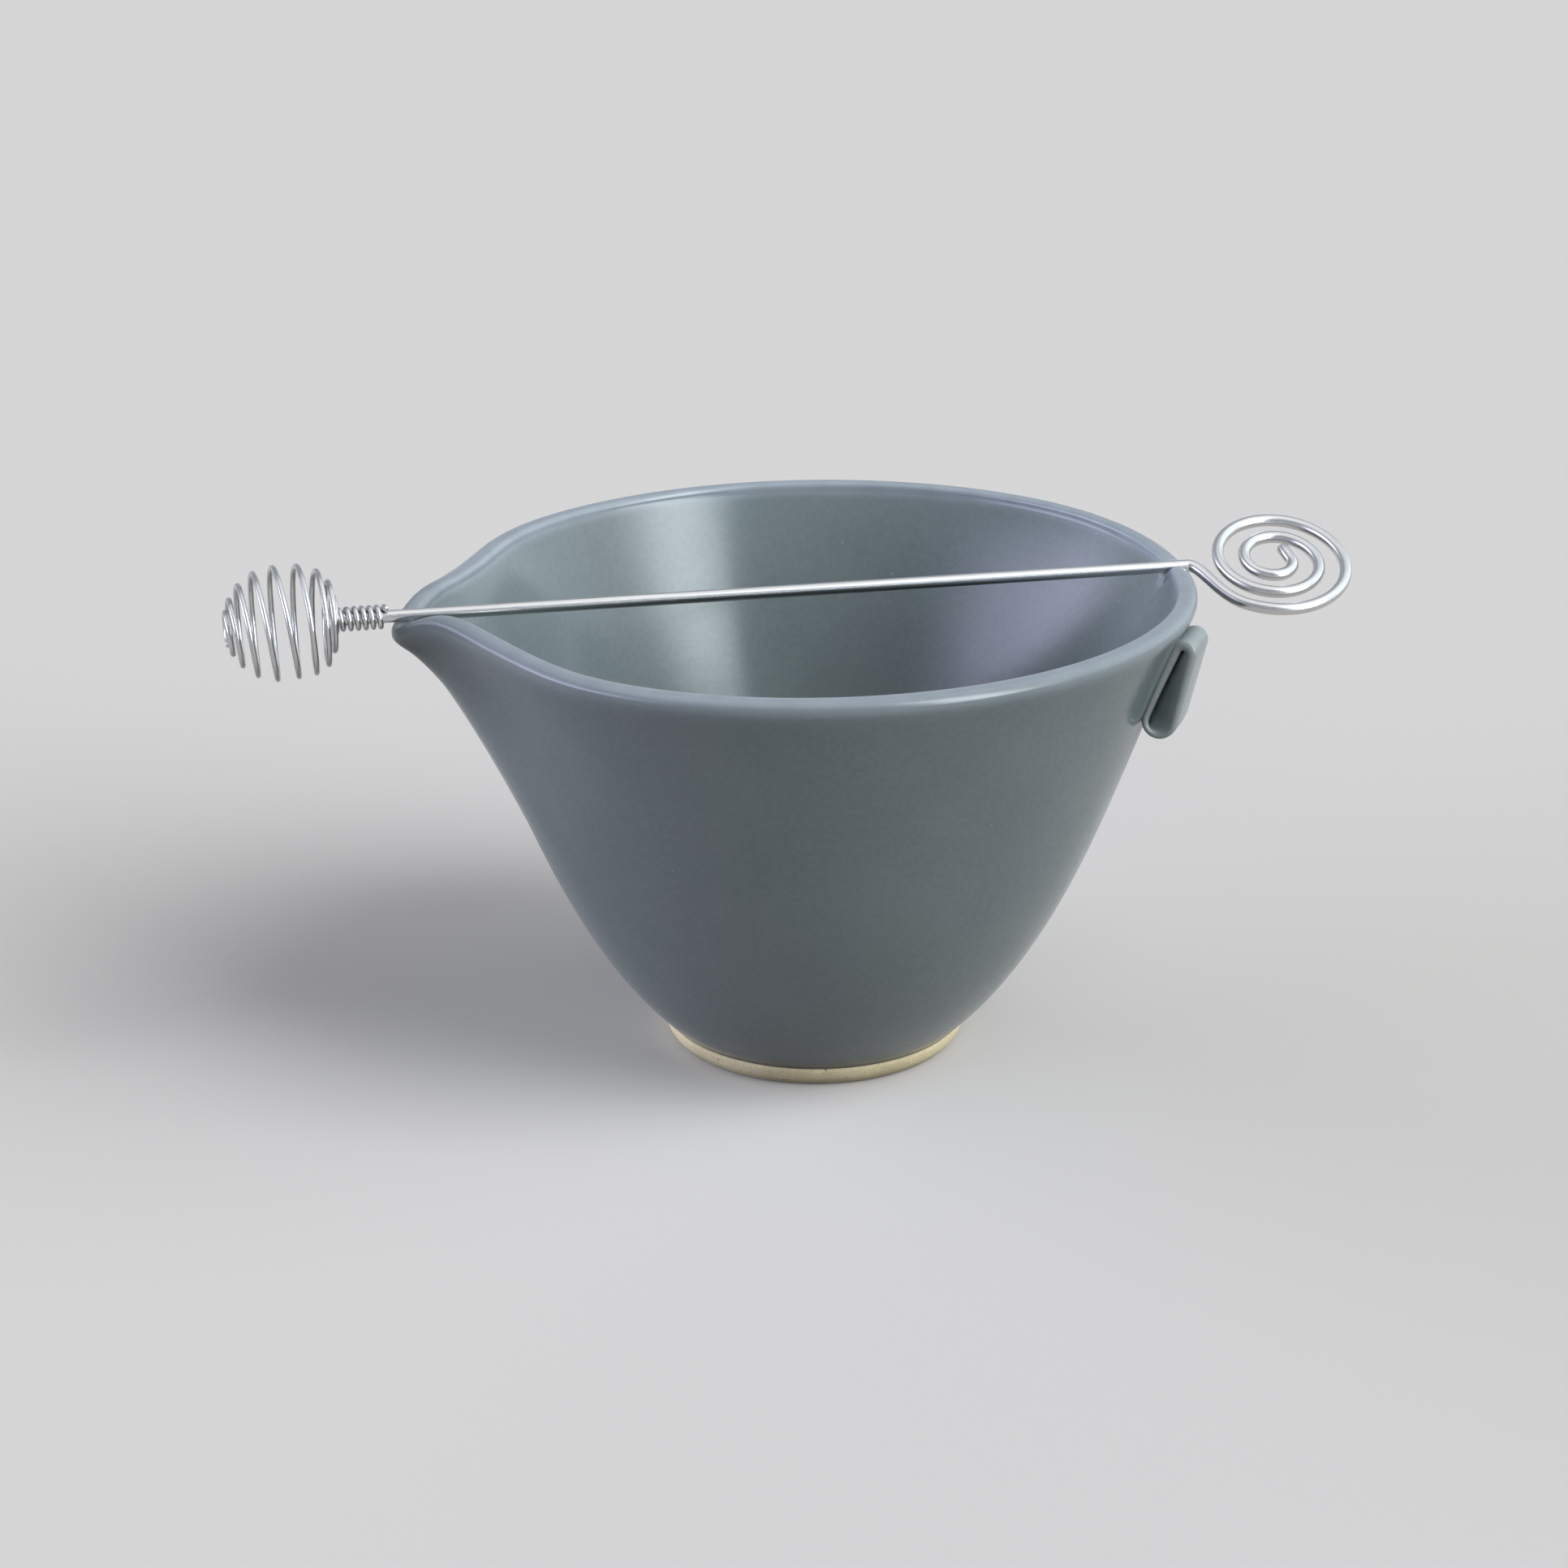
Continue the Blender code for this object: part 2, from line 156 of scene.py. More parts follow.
def makePiece(name, points, faces, material, attributes=None, sharp=60):
    mesh = bpy.data.meshes.new(name)
    mesh.from_pydata(points, [], faces)
    bm = bmesh.new()
    bm.from_mesh(mesh)
    bmesh.ops.recalc_face_normals(bm, faces=bm.faces)
    bm.to_mesh(mesh)
    bm.free()
    for label, values in (attributes or {}).items():
        vector = isinstance(values[0], (tuple, Vector))
        layer = mesh.attributes.new(label, "FLOAT_VECTOR" if vector else "FLOAT", "POINT")
        if vector:
            layer.data.foreach_set("vector", [part for value in values for part in value])
        else:
            layer.data.foreach_set("value", values)
    mesh.shade_smooth()
    mesh.set_sharp_from_angle(angle=math.radians(sharp))
    mesh.materials.append(material)
    piece = bpy.data.objects.new(name, mesh)
    bpy.context.scene.collection.objects.link(piece)
    return piece


# glazed shell

shell = {
    "rimLength": 0.1504, "rimWidth": 0.1350, "rimHeight": 0.0940,
    "rimThickness": 0.0043, "rimRounding": 0.0017, "outerRounding": 0.0024, "innerRounding": 0.0009,
    "shoulder": 0.00042, "shoulderDrop": 0.0017,            # wall drawn in just under the rim
    "softOuter": 0.0027, "softInner": 0.0015, "softDeep": 0.0014,       # rim's rounding at the spout
    "softThick": 0.0006, "softSpread": math.radians(75),
    "wallThickness": 0.0090, "fullDepth": 0.5,              # inside wall, thicker than the solid's
    "floorThickness": 0.0050, "floorSweep": 0.0110,
    "footFlare": math.radians(46), "footHandle": 0.0350,
    "rimFlare": math.radians(28), "rimHandle": 0.0260, "ovalPower": 1.25,
    "glazeRadius": 0.0298, "glazeHeight": 0.0038,
    "spoutReach": 0.0078, "spoutSpread": math.radians(6.5), "spoutWiden": math.radians(12),
    "spoutDepth": 0.0450, "spoutPower": 1.5,
    "lipDrop": 0.0029, "lipSpread": math.radians(4.5), "lipRoll": 0.0009, "lipRollDrop": 0.0022,
    "wingRise": 0.0020, "wingSpread": math.radians(15),
    "throatPinch": 0.0026, "throatAngle": math.radians(22), "throatSpread": math.radians(14),
    "notchHalf": 0.0021, "notchEdge": 0.0012, "notchDip": 0.0007, "notchDipSpread": math.radians(22),
    "rimBlend": 0.0160,
    "wobble": 0.00010,          # hand-thrown unevenness, always inwards
    "wobbleLobes": (3, 2), "wobbleTwist": (4, 9), "wobbleStart": 1,
    "edgeRoll": 0.0005,         # thickness of the glaze where it stops at the foot
    "edgeRows": (0.004, 0.008, 0.013), "edgeSteps": 5, "edgeFade": 8, "edgeBand": 0.0007,
    "wallBreakAndHighlight": 0.35, "wallPaleDrop": 0.0022,             # how much the wall under the rim is painted paler, partly glaze break and partly painted highlight, and how far down
    # rim rounding painted paler, most at the crest: partly glaze break, partly painted highlight of the lit
    # rim top
    "rimBreakAndHighlight": 0.35, "crestBreakAndHighlight": 0.55, "crestTurn": 0.6 * math.pi, "lipPaleLoss": 0.35,
    # inner rim edge painted paler: glaze break with a painted highlight on the inner rounding
    "innerBreakAndHighlight": 0.4, "innerPaleDrop": 0.0009,
    "nickBreak": 0.5, "nickHalf": 0.0036, "nickDrop": 0.0042,           # the same round the notch
    "around": 340, "wallRows": 64, "roundSteps": 9, "floorRows": 22, "rimCrowding": 1.5,
    "notchCrowding": 8, "notchCrowdSpread": 0.05, "spoutCrowding": 2, "spoutCrowdSpread": 0.30,
    "finerBy": 60, "halvings": 40,                          # steps of the searches below
    "deepTone": (0.134, 0.172, 0.186), "paleTone": (0.148, 0.186, 0.199),
    # the pale bluish edge tone is partly glaze break and partly painted highlight; the dark tone is thick
    # glaze at the foot
    "breakAndHighlightTone": (0.300, 0.352, 0.410), "edgeTone": (0.060, 0.070, 0.070),
    "paleSpeck": (0.300, 0.300, 0.260), "ironSpeck": (0.030, 0.026, 0.022),
}
rimHalf = shell["rimLength"] / 2
wallTop = shell["rimHeight"] - shell["rimRounding"]
wallBottom = shell["glazeHeight"]
floorHeight = wallBottom + shell["floorThickness"]


def fromNotch(angle):
    return math.remainder(angle, 2 * math.pi)


def fromSpout(angle):
    return math.remainder(angle - math.pi, 2 * math.pi)


def rimRise(angle):
    spout, notch = fromSpout(angle), fromNotch(angle)
    rise = shell["wingRise"] * bell(spout, shell["wingSpread"])
    rise -= (shell["lipDrop"] + shell["wingRise"]) * bell(spout, shell["lipSpread"])
    rise -= shell["notchDip"] * bell(notch, shell["notchDipSpread"])
    across = abs(rimHalf * notch) - shell["notchHalf"] + shell["notchEdge"] / 2
    rise -= (shell["lipDrop"] - shell["notchDip"]) * (1 - smooth(across / shell["notchEdge"]))
    return rise


def wallProfile(t):
    foot = Vector((shell["glazeRadius"], wallBottom))
    rim = Vector((rimHalf, wallTop))
    leave = Vector((math.sin(shell["footFlare"]), math.cos(shell["footFlare"]))) * shell["footHandle"]
    arrive = Vector((math.sin(shell["rimFlare"]), math.cos(shell["rimFlare"]))) * shell["rimHandle"]
    return bezier(foot, foot + leave, rim - arrive, rim, t)


def profileAt(height):
    low, high = 0.0, 1.0
    for _ in range(shell["halvings"]):
        middle = (low + high) / 2
        low, high = (middle, high) if wallProfile(middle).y < height else (low, middle)
    return low


def wallPoint(angle, t):
    radius, height = wallProfile(t)
    width, length = shell["rimWidth"], shell["rimLength"]
    oval = width / math.hypot(width * math.cos(angle), length * math.sin(angle))
    share = max((height - wallBottom) / (wallTop - wallBottom), 0.0)
    radius *= 1 - (1 - oval) * share ** shell["ovalPower"]
    lobes, twist = shell["wobbleLobes"], shell["wobbleTwist"]
    uneven = math.sin(lobes[0] * angle + shell["wobbleStart"] + twist[0] * share)
    uneven *= math.cos(lobes[1] * angle - twist[1] * share)
    radius -= shell["wobble"] * share * (1 + uneven)
    spout, below = fromSpout(angle), wallTop - height
    pull = max(1 - below / shell["spoutDepth"], 0.0)
    throat = bell(abs(spout) - shell["throatAngle"], shell["throatSpread"])
    radius -= shell["throatPinch"] * throat * smooth(pull)
    beak = bell(spout, shell["spoutSpread"] + shell["spoutWiden"] * (1 - pull))
    radius += shell["spoutReach"] * beak * pull ** shell["spoutPower"]
    radius += shell["lipRoll"] * beak * bell(below - shell["lipRollDrop"], shell["lipRollDrop"])
    lift = rimRise(angle) * smooth(1 - below / shell["rimBlend"])
    return radius + lift * math.tan(shell["rimFlare"]) * (1 - beak), height + lift


def meridian(angle):
    rows, roundSteps, rounding = shell["wallRows"], shell["roundSteps"], shell["rimRounding"]
    crowding, soft = shell["rimCrowding"], bell(fromSpout(angle), shell["softSpread"])
    thickness = shell["rimThickness"] + shell["softThick"] * soft
    base = Vector(wallPoint(angle, 0.0))
    slices = []                 # (point, glaze break and painted highlight, glaze edge)
    for i in range(shell["edgeSteps"]):         # glaze rolling in under itself at the foot
        turn = math.pi / 2 * (i / shell["edgeSteps"] - 1)
        roll = Vector((math.cos(turn) - 1, 1 + math.sin(turn))) * shell["edgeRoll"]
        slices.append((base + roll, 0.0, 1.0))
    for t in (*shell["edgeRows"], *(1 - (1 - i / rows) ** crowding for i in range(1, rows + 1))):
        point = Vector(wallPoint(angle, t))
        point.y += shell["edgeRoll"] * (1 - t) ** shell["edgeFade"]
        below = wallTop - wallProfile(t).y
        point.x -= shell["shoulder"] * max(1 - below / shell["shoulderDrop"], 0.0) ** 2
        # outer wall just under the rim: glaze break with a painted highlight
        slices.append((point, shell["wallBreakAndHighlight"] * bell(below, shell["wallPaleDrop"]),
                       bell(point.y - wallBottom - shell["edgeRoll"], shell["edgeBand"])))
    top = slices[-1][0]
    crisp = shell["innerRounding"]
    lip = 1 - shell["lipPaleLoss"] * bell(fromSpout(angle), shell["wingSpread"])
    outerWide = shell["outerRounding"] + (shell["softOuter"] - shell["outerRounding"]) * soft
    innerWide = crisp + (shell["softInner"] - crisp) * soft
    innerDeep = crisp + (shell["softDeep"] - crisp) * soft
    outer = top - Vector((outerWide, 0))
    inner = top - Vector((thickness - shell["shoulder"] - innerWide, innerDeep - rounding))
    for i in range(1, 2 * roundSteps + 1):
        turn = math.pi / 2 * i / roundSteps
        centre, wide, deep = outer, outerWide, rounding
        if i > roundSteps:
            centre, wide, deep = inner, innerWide, innerDeep
        # rim rounding: glaze break plus a painted highlight that grows towards the crest
        crest = smooth(turn / shell["crestTurn"])
        point = centre + Vector((wide * math.cos(turn), deep * math.sin(turn)))
        slices.append((point, (shell["rimBreakAndHighlight"] + shell["crestBreakAndHighlight"] * crest) * lip, 0.0))
    sweep = profileAt(floorHeight + shell["floorSweep"])
    for i in range(1, rows):
        t = 1 - (1 - sweep) * (i / (rows - 1)) ** crowding
        wall = thickness + (shell["wallThickness"] - thickness) * min((1 - t) / shell["fullDepth"], 1.0)
        below = wallTop - wallProfile(t).y
        # inside wall near the rim: glaze break plus a painted highlight on the inner rounding
        slices.append((Vector(wallPoint(angle, t)) - Vector((wall, 0)),
                       shell["innerBreakAndHighlight"] * bell(below, shell["innerPaleDrop"]), 0.0))
    edge, above = slices[-1][0], slices[-2][0]
    leave = edge + (edge - above).normalized() * shell["floorSweep"]
    for i in range(1, shell["floorRows"]):
        point = bezier(edge, leave, Vector((edge.x / 2, floorHeight)), Vector((0, floorHeight)),
                       i / shell["floorRows"])
        slices.append((point, 0.0, 0.0))
    return slices


def shellAngles():
    fine = shell["finerBy"] * shell["around"]
    weights = []
    for i in range(fine):
        angle = 2 * math.pi * i / fine
        weights.append(1 + shell["notchCrowding"] * bell(fromNotch(angle), shell["notchCrowdSpread"])
                       + shell["spoutCrowding"] * bell(fromSpout(angle), shell["spoutCrowdSpread"]))
    step, passed, chosen = sum(weights) / shell["around"], 0.0, []
    for i, weight in enumerate(weights):
        if len(chosen) < shell["around"] and passed >= len(chosen) * step:
            chosen.append(2 * math.pi * i / fine)
        passed += weight
    return chosen


# glaze, shared by the shell and the lug

glazeLook = {
    "cloudScale": 34, "mottleScale": 900, "mottle": (0.965, 1.035),
    "grainScale": 3600, "grainSpan": (0.60, 0.75), "grainShare": 0.30,
    "paleSpecks": (190, 0.045, 0.28), "ironSpecks": (52, 0.013, 0.35),      # scale, size, share kept
    "raggedScale": 160, "raggedSpan": (0.30, 0.65), "raggedLeast": 0.80, "edgeShare": 0.7,
    "glossScale": 60, "roughness": (0.18, 0.22), "refraction": 1.52,
    "ringScale": (14, 14, 330), "ringDepth": 0.0004, "ringStrength": 0.05,  # left by throwing
    "skinScale": 520, "skinDepth": 0.0001, "skinStrength": 0.06,
}


def glazeMaterial(name, deep, pale, breakAndHighlight):
    material, tree, shader = newMaterial(name)
    place = add(tree, "ShaderNodeTexCoord").outputs["Object"]
    look = glazeLook
    colour = blend(tree, fit(tree, noise(tree, place, look["cloudScale"], 4), *noiseMiddle), deep, pale)
    mottle = fit(tree, noise(tree, place, look["mottleScale"], 2), *noiseMiddle, *look["mottle"])
    colour = blend(tree, 1.0, colour, mottle, "MULTIPLY")
    grain = fit(tree, noise(tree, place, look["grainScale"], 1), *look["grainSpan"], 0.0, look["grainShare"])
    colour = blend(tree, grain, colour, pale)
    colour = blend(tree, spots(tree, place, *look["paleSpecks"]), colour, shell["paleSpeck"])
    colour = blend(tree, spots(tree, place, *look["ironSpecks"]), colour, shell["ironSpeck"])
    # edges and rim painted pale in ragged patches: glaze break together with a painted highlight
    patches = fit(tree, noise(tree, place, look["raggedScale"], 3), *look["raggedSpan"], look["raggedLeast"])
    ragged = maths(tree, "MULTIPLY", attribute(tree, "glazeBreakAndHighlight"), patches)
    colour = blend(tree, ragged, colour, breakAndHighlight)
    thickEdge = maths(tree, "MULTIPLY", attribute(tree, "glazeEdge"), look["edgeShare"])
    colour = blend(tree, thickEdge, colour, shell["edgeTone"])
    join(tree, colour, shader, "Base Color")
    gloss = fit(tree, noise(tree, place, look["glossScale"], 3), *noiseWide, *look["roughness"])
    join(tree, gloss, shader, "Roughness")
    rings = add(tree, "ShaderNodeMapping")
    join(tree, place, rings, "Vector")
    join(tree, look["ringScale"], rings, "Scale")
    waves = noise(tree, rings.outputs["Vector"], 1.0, 2)
    thrown = bump(tree, waves, look["ringDepth"], look["ringStrength"])
    skin = noise(tree, place, look["skinScale"], 2)
    join(tree, bump(tree, skin, look["skinDepth"], look["skinStrength"], thrown), shader, "Normal")
    shader.inputs["IOR"].default_value = look["refraction"]
    return material


glaze = glazeMaterial("slateGlaze", shell["deepTone"], shell["paleTone"], shell["breakAndHighlightTone"])
angles = shellAngles()
slices = [meridian(angle) for angle in angles]
rowCount = len(slices[0])
points, glazeBreakAndHighlight, glazeEdge = [], [], []
for row in range(rowCount):
    for angle, cut in zip(angles, slices):
        spot, breakAndHighlight, edge = cut[row]
        points.append(polar(angle, *spot))
        nick = bell(rimHalf * fromNotch(angle), shell["nickHalf"])
        nick *= bell(spot.y - shell["rimHeight"], shell["nickDrop"])
        glazeBreakAndHighlight.append(min(breakAndHighlight + shell["nickBreak"] * nick, 1.0))
        glazeEdge.append(edge)
faces = gridFaces(rowCount, len(angles))
for row, height in ((0, wallBottom), (rowCount - 1, floorHeight)):
    points.append(Vector((0, 0, height)))
    glazeBreakAndHighlight.append(0.0)
    glazeEdge.append(0.0)
    first = row * len(angles)
    faces += [(first + k, first + (k + 1) % len(angles), len(points) - 1) for k in range(len(angles))]
bowlPiece = makePiece("glazedShell", points, faces, glaze,
                      {"glazeBreakAndHighlight": glazeBreakAndHighlight, "glazeEdge": glazeEdge})
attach(bowlPiece, "bowl")
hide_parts("bowl_body")
print("glazed shell made,", len(faces), "faces")


# bare clay foot

foot = {
    "baseRadius": 0.0281, "lineRadius": 0.0298, "lineHeight": 0.0035, "meetHeight": 0.0041,
    "edgeRounding": 0.0005, "edgeSteps": 4, "flarePower": 1.2, "tuck": 0.0007, "around": 200, "rows": 14,
    "paleClay": (0.690, 0.615, 0.420), "deepClay": (0.580, 0.505, 0.335), "grit": (0.160, 0.125, 0.085),
    "cloudScale": 130, "sandScale": 2400, "sand": (0.86, 1.12), "sandRoughness": 0.7,
    "gritSpots": (520, 0.14, 0.08),                         # scale, size, share kept
    "dullScale": 900, "roughness": (0.78, 0.92),
    "ringScale": (60, 60, 1900), "ringDepth": 0.0002, "ringStrength": 0.35,     # left by trimming
    "grainScale": 3000, "grainDepth": 0.0002, "grainStrength": 0.5,
}


def clayMaterial():
    material, tree, shader = newMaterial("bareClay")
    place = add(tree, "ShaderNodeTexCoord").outputs["Object"]
    clouds = fit(tree, noise(tree, place, foot["cloudScale"], 4), *noiseWide)
    colour = blend(tree, clouds, foot["deepClay"], foot["paleClay"])
    sand = noise(tree, place, foot["sandScale"], 3, foot["sandRoughness"])
    colour = blend(tree, 1.0, colour, fit(tree, sand, *noiseWide, *foot["sand"]), "MULTIPLY")
    colour = blend(tree, spots(tree, place, *foot["gritSpots"]), colour, foot["grit"])
    join(tree, colour, shader, "Base Color")
    dull = fit(tree, noise(tree, place, foot["dullScale"], 2), *noiseWide, *foot["roughness"])
    join(tree, dull, shader, "Roughness")
    turned = add(tree, "ShaderNodeMapping")
    join(tree, place, turned, "Vector")
    join(tree, foot["ringScale"], turned, "Scale")
    waves = noise(tree, turned.outputs["Vector"], 1.0, 2)
    lines = bump(tree, waves, foot["ringDepth"], foot["ringStrength"])
    grain = noise(tree, place, foot["grainScale"], 3, foot["sandRoughness"])
    join(tree, bump(tree, grain, foot["grainDepth"], foot["grainStrength"], lines), shader, "Normal")
    return material


profile = []
for i in range(foot["edgeSteps"] + 1):
    turn = math.pi / 2 * i / foot["edgeSteps"]
    profile.append((foot["baseRadius"] - foot["edgeRounding"] * (1 - math.sin(turn)),
                    foot["edgeRounding"] * (1 - math.cos(turn))))
for i in range(1, foot["rows"] + 1):
    turn = math.pi / 2 * i / foot["rows"]
    flare = math.sin(turn) ** foot["flarePower"]
    climb = foot["lineHeight"] - foot["edgeRounding"]
    profile.append((foot["baseRadius"] + (foot["lineRadius"] - foot["baseRadius"]) * flare,
                    foot["edgeRounding"] + climb * (1 - math.cos(turn))))
profile.append((foot["lineRadius"] - foot["tuck"], foot["meetHeight"]))     # up behind the glaze
points = []
for radius, height in profile:
    for k in range(foot["around"]):
        points.append(polar(2 * math.pi * k / foot["around"], radius, height))
faces = gridFaces(len(profile), foot["around"])
for row, height in ((0, 0.0), (len(profile) - 1, foot["meetHeight"])):
    points.append(Vector((0, 0, height)))
    first = row * foot["around"]
    faces += [(first + k, first + (k + 1) % foot["around"], len(points) - 1) for k in range(foot["around"])]
footPiece = makePiece("clayFoot", points, faces, clayMaterial())
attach(footPiece, "bowl")
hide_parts("bare_foot")
print("clay foot made")


# strap lug

lug = {
    "angle": math.radians(-25), "drop": 0.0035, "height": 0.0197, "width": 0.0105,
    "thickness": 0.0016, "thinnest": 0.85, "thickest": 1.38, "sink": 0.0004,
    "foldOpening": 0.0010, "bottomOpening": 0.0042, "shutDepth": 0.0024, "shutMost": 1.02,
    "bendSteps": 30, "legSteps": 16, "edgeSteps": 9, "widthSteps": 10, "slopeStep": 0.002,
    # strap edges painted paler: glaze break with a painted highlight
    "faceBreak": 0.25, "edgeBreakAndHighlight": 0.75, "breakRows": 1.5,
    # lug tones: the shell's glaze painted paler, as painted light for the weakly lit lug
    "deepTone": (0.195, 0.240, 0.252), "paleTone": (0.240, 0.285, 0.298),
    "breakAndHighlightTone": (0.330, 0.375, 0.395),
}


def lugPath():
    half = lug["thickness"] / 2
    touch = half - lug["sink"]
    fold = lug["foldOpening"] / 2 + half * lug["thickest"]
    bottom = lug["bottomOpening"] / 2 + half * lug["thinnest"]
    high, low = lug["height"] - half - fold, half + bottom
    tangent = 2 * math.atan((bottom - fold) / (high - low))
    path = []
    for centre, radius, first, last in ((high, fold, math.pi, tangent), (low, bottom, tangent, -math.pi)):
        for i in range(lug["bendSteps"] + 1):
            turn = first + (last - first) * i / lug["bendSteps"]
            path.append((centre + radius * math.sin(turn), touch + radius + radius * math.cos(turn), turn))
    for i in range(1, lug["legSteps"]):
        path.append((low + (high - low) * i / lug["legSteps"], touch, math.pi))
    return path


def strapOutline():
    half, steps = lug["thickness"] / 2, lug["widthSteps"]
    end = lug["width"] / 2 - half
    outline = []                # (through, across, glaze break and painted highlight)
    for side in (1, -1):
        for i in range(lug["edgeSteps"] + 1):
            turn = math.pi * (i / lug["edgeSteps"] - 0.5)
            outline.append((side * half * math.sin(turn), side * (end + half * math.cos(turn)),
                            lug["faceBreak"] + lug["edgeBreakAndHighlight"] * math.cos(turn)))
        for i in range(1, steps):
            fromEdge = steps / 2 - abs(i - steps / 2)
            outline.append((side * half, side * end * (1 - 2 * i / steps),
                            lug["faceBreak"] * bell(fromEdge, lug["breakRows"])))
    return outline


base = shell["rimHeight"] - lug["drop"] - lug["height"]
points, glazeBreakAndHighlight = [], []
outline, path = strapOutline(), lugPath()
half = lug["thickness"] / 2
for through, across, breakAndHighlight in outline:
    deep = min((across + lug["width"] / 2) / lug["shutDepth"], 1.0)
    shut = lug["shutMost"] * deep * max(-through / half, 0.0)
    for along, out, turn in path:
        swell = lug["thinnest"] + (lug["thickest"] - lug["thinnest"]) * smooth(along / lug["height"])
        seatFace = half - lug["sink"] + half * swell    # the inside closes onto this behind the near end
        out += through * swell * math.cos(turn)
        out -= max(out - seatFace, 0.0) * shut
        t = profileAt(base + along + through * swell * math.sin(turn))
        angle = lug["angle"] + across / wallProfile(t).x
        seat = Vector(wallPoint(angle, t))
        uphill = (seat - Vector(wallPoint(angle, t - lug["slopeStep"]))).normalized()
        points.append(polar(angle, *(seat + Vector((uphill.y, -uphill.x)) * out)))
        glazeBreakAndHighlight.append(min(breakAndHighlight, 1.0))
faces = gridFaces(len(outline), len(path), closedRows=True)
# a paler copy of the shell glaze, painted light on the lug
lugGlazePaintedLighter = glazeMaterial("lugGlazePaintedLighter", lug["deepTone"], lug["paleTone"], lug["breakAndHighlightTone"])
lugPiece = makePiece("strapLug", points, faces, lugGlazePaintedLighter, {"glazeBreakAndHighlight": glazeBreakAndHighlight})
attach(lugPiece, "bowl")
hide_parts("lug_loop")
print("strap lug made")


# wires

steel = {
    "streakScale": (45, 5, 5), "streakDetail": 4, "streakRoughness": 0.6, "glossSpan": (0.25, 0.75),
    "streakDepth": 0.00003, "streakStrength": 0.25,
    "endRounding": ((0.0, 0.80), (0.10, 0.95), (0.24, 1.0)),    # distance in and size, in wire radii
    "sharpEdge": 40,
}


def steelMaterial(name, bright, dull, smoothest, roughest):
    material, tree, shader = newMaterial(name)
    place = attribute(tree, "wirePlace", "Vector")
    drawn = add(tree, "ShaderNodeMapping")
    join(tree, place, drawn, "Vector")
    join(tree, steel["streakScale"], drawn, "Scale")
    streaks = noise(tree, drawn.outputs["Vector"], 1.0, steel["streakDetail"], steel["streakRoughness"])
    join(tree, blend(tree, fit(tree, streaks, *noiseWide), bright, dull), shader, "Base Color")
    join(tree, fit(tree, streaks, *steel["glossSpan"], smoothest, roughest), shader, "Roughness")
    join(tree, bump(tree, streaks, steel["streakDepth"], steel["streakStrength"]), shader, "Normal")
    shader.inputs["Metallic"].default_value = 1.0
    return material


def makeWire(name, path, radius, sides, material):
    points, places, travelled = [], [], 0.0
    end = len(path) - 1
    tangents = [(path[min(i + 1, end)] - path[max(i - 1, 0)]).normalized() for i in range(end + 1)]
    across = tangents[0].orthogonal().normalized()
    rings = [(0, inwards, size) for inwards, size in steel["endRounding"]]
    rings += [(i, 0.0, 1.0) for i in range(1, end)]
    rings += [(end, -inwards, size) for inwards, size in reversed(steel["endRounding"])]
    last = 0
    for i, shift, size in rings:
        tangent = tangents[i]
        across = (across - tangent * across.dot(tangent)).normalized()
        upright = tangent.cross(across)
        travelled += (path[i] - path[last]).length
        last = i
        centre = path[i] + tangent * shift * radius
        for k in range(sides):
            turn = 2 * math.pi * k / sides
            points.append(centre + (across * math.cos(turn) + upright * math.sin(turn)) * radius * size)
            places.append((travelled, math.cos(turn), math.sin(turn)))
    faces = gridFaces(len(rings), sides)
    for row, spot in ((0, path[0]), (len(rings) - 1, path[-1])):
        points.append(spot.copy())
        places.append((travelled, 0.0, 0.0))
        faces += [(row * sides + k, row * sides + (k + 1) % sides, len(points) - 1) for k in range(sides)]
    return makePiece(name, points, faces, material, {"wirePlace": places}, steel["sharpEdge"])


def straightOn(end, before, length):
    return end + (end - before).normalized() * length


# rod, bend and flat spiral

handle = {
    "diameter": 0.0024, "seatGap": 0.0003,
    "bendStandoff": -0.0008, "bendIn": 0.0033, "bendOut": 0.0064,
    "spiralGap": 0.0049, "spiralRadius": 0.01563, "spiralEnd": 0.0032, "spiralPitch": 0.0053,
    "spiralStart": math.radians(-125), "spiralTilt": math.radians(20.5), "spiralTail": 0.0038,
    "sides": 24, "rodSteps": 40, "bendSteps": 40, "turnSteps": 90, "headingStep": 0.002,
    "bright": (0.660, 0.655, 0.650), "dull": (0.520, 0.515, 0.510), "smoothest": 0.20, "roughest": 0.28,
}
beater = {
    "wire": 0.0011, "collarStandoff": 0.0003, "collarTurns": 6.4, "collarAir": 0.00033,
    "grip": 0.00012,            # collar to rod, closer than the solids' gap
    "radius": 0.01055, "front": 0.0099, "neck": 0.0111, "neckFullness": 3.5,
    "turns": 9.05, "start": math.radians(-159), "endRadius": 0.0028,
    "crowding": 1.05, "droop": math.radians(5.2),
    "sides": 14, "turnSteps": 72, "collarSteps": 36,
    "bright": (0.600, 0.595, 0.590), "dull": (0.460, 0.455, 0.450), "smoothest": 0.17, "roughest": 0.25,
}
rodRadius = handle["diameter"] / 2
rodHeight = shell["rimHeight"] - shell["lipDrop"] + handle["seatGap"] + rodRadius
coilRadius = beater["wire"] / 2
collarPitch = beater["wire"] + beater["collarAir"]
collarEnd = -(rimHalf + shell["spoutReach"] + beater["collarStandoff"] + coilRadius)
ballJoin = collarEnd - beater["collarTurns"] * collarPitch - beater["collarAir"]
rodLine = Vector((0, 0, rodHeight))


